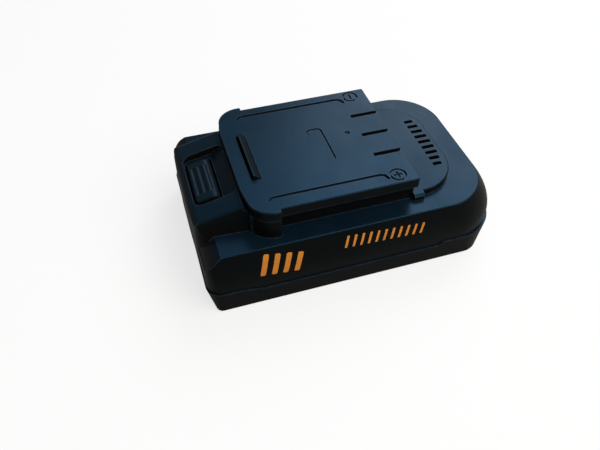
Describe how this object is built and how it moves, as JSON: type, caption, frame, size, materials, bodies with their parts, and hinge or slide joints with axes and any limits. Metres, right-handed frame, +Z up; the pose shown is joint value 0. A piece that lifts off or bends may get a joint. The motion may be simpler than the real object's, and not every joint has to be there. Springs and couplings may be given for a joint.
{
  "type": "power tool battery pack",
  "caption": "Slide-on rechargeable battery pack with a rail plate, terminal slots, cooling vents, a spring-loaded release button with its hook, and cylindrical cells inside.",
  "frame": {"origin": "centre of the flat underside's bounding box, on the surface that the pack stands on", "axes": "+X from the release button's end to the vented end, along the rails; +Y across the pack; +Z up, out of the rail plate"},
  "size_m": [0.1296, 0.0792, 0.0458],
  "materials": {
    "shell_plastic": "fine moulded grain, near black with a blue-grey sheen where light falls on it",
    "rail_plastic": "smooth moulded black",
    "latch_plastic": "smooth moulded black",
    "spring_steel": "bright drawn wire",
    "cell_sleeve": "plain blue heat-shrunk sleeve",
    "holder_plastic": "natural moulded",
    "nickel": "nickel strip with weld spots",
    "insulation_paper": "fish paper",
    "board_laminate": "green solder mask over glass laminate",
    "component_black": "moulded epoxy",
    "capacitor_can": "bare can",
    "fuse_body": "white ceramic",
    "sensor_resin": "dipped epoxy bead",
    "terminal_plastic": "glass-filled black",
    "contact_copper": "bare copper alloy spring",
    "screw_steel": "zinc plated",
    "printed_mark": "thin screen-printed orange ink"
  },
  "bodies": {
    "pack": {"upper_shell": "shell_plastic", "lower_shell": "shell_plastic", "rail_plate": "rail_plastic", "latch_spring_front": "spring_steel", "latch_spring_rear": "spring_steel", "cell_1": "cell_sleeve", "cell_2": "cell_sleeve", "cell_3": "cell_sleeve", "cell_4": "cell_sleeve", "cell_5": "cell_sleeve", "cell_6": "cell_sleeve", "cell_holder_front": "holder_plastic", "cell_holder_rear": "holder_plastic", "link_strip_1": "nickel", "link_strip_2": "nickel", "link_strip_3": "nickel", "link_strip_4": "nickel", "link_strip_5": "nickel", "positive_strip": "nickel", "negative_strip": "nickel", "insulation_sheet_front": "insulation_paper", "insulation_sheet_rear": "insulation_paper", "circuit_board": "board_laminate", "control_chip": "component_black", "power_transistor_1": "component_black", "power_transistor_2": "component_black", "capacitor": "capacitor_can", "board_fuse": "fuse_body", "temperature_sensor": "sensor_resin", "terminal_block": "terminal_plastic", "positive_contact": "contact_copper", "signal_contact": "contact_copper", "negative_contact": "contact_copper", "casing_screws": "screw_steel", "board_screws": "screw_steel", "plate_screws": "screw_steel"},
    "latch": {"release_latch": "latch_plastic"}
  },
  "joints": [
    {"name": "release_press", "type": "slide", "parent": "pack", "child": "latch", "axis": [0, 0, -1], "range_m": [0, 0.003], "stiffness_N_per_m": 1500, "springref_m": -0.002, "deforming": ["latch_spring_front", "latch_spring_rear"]}
  ]
}
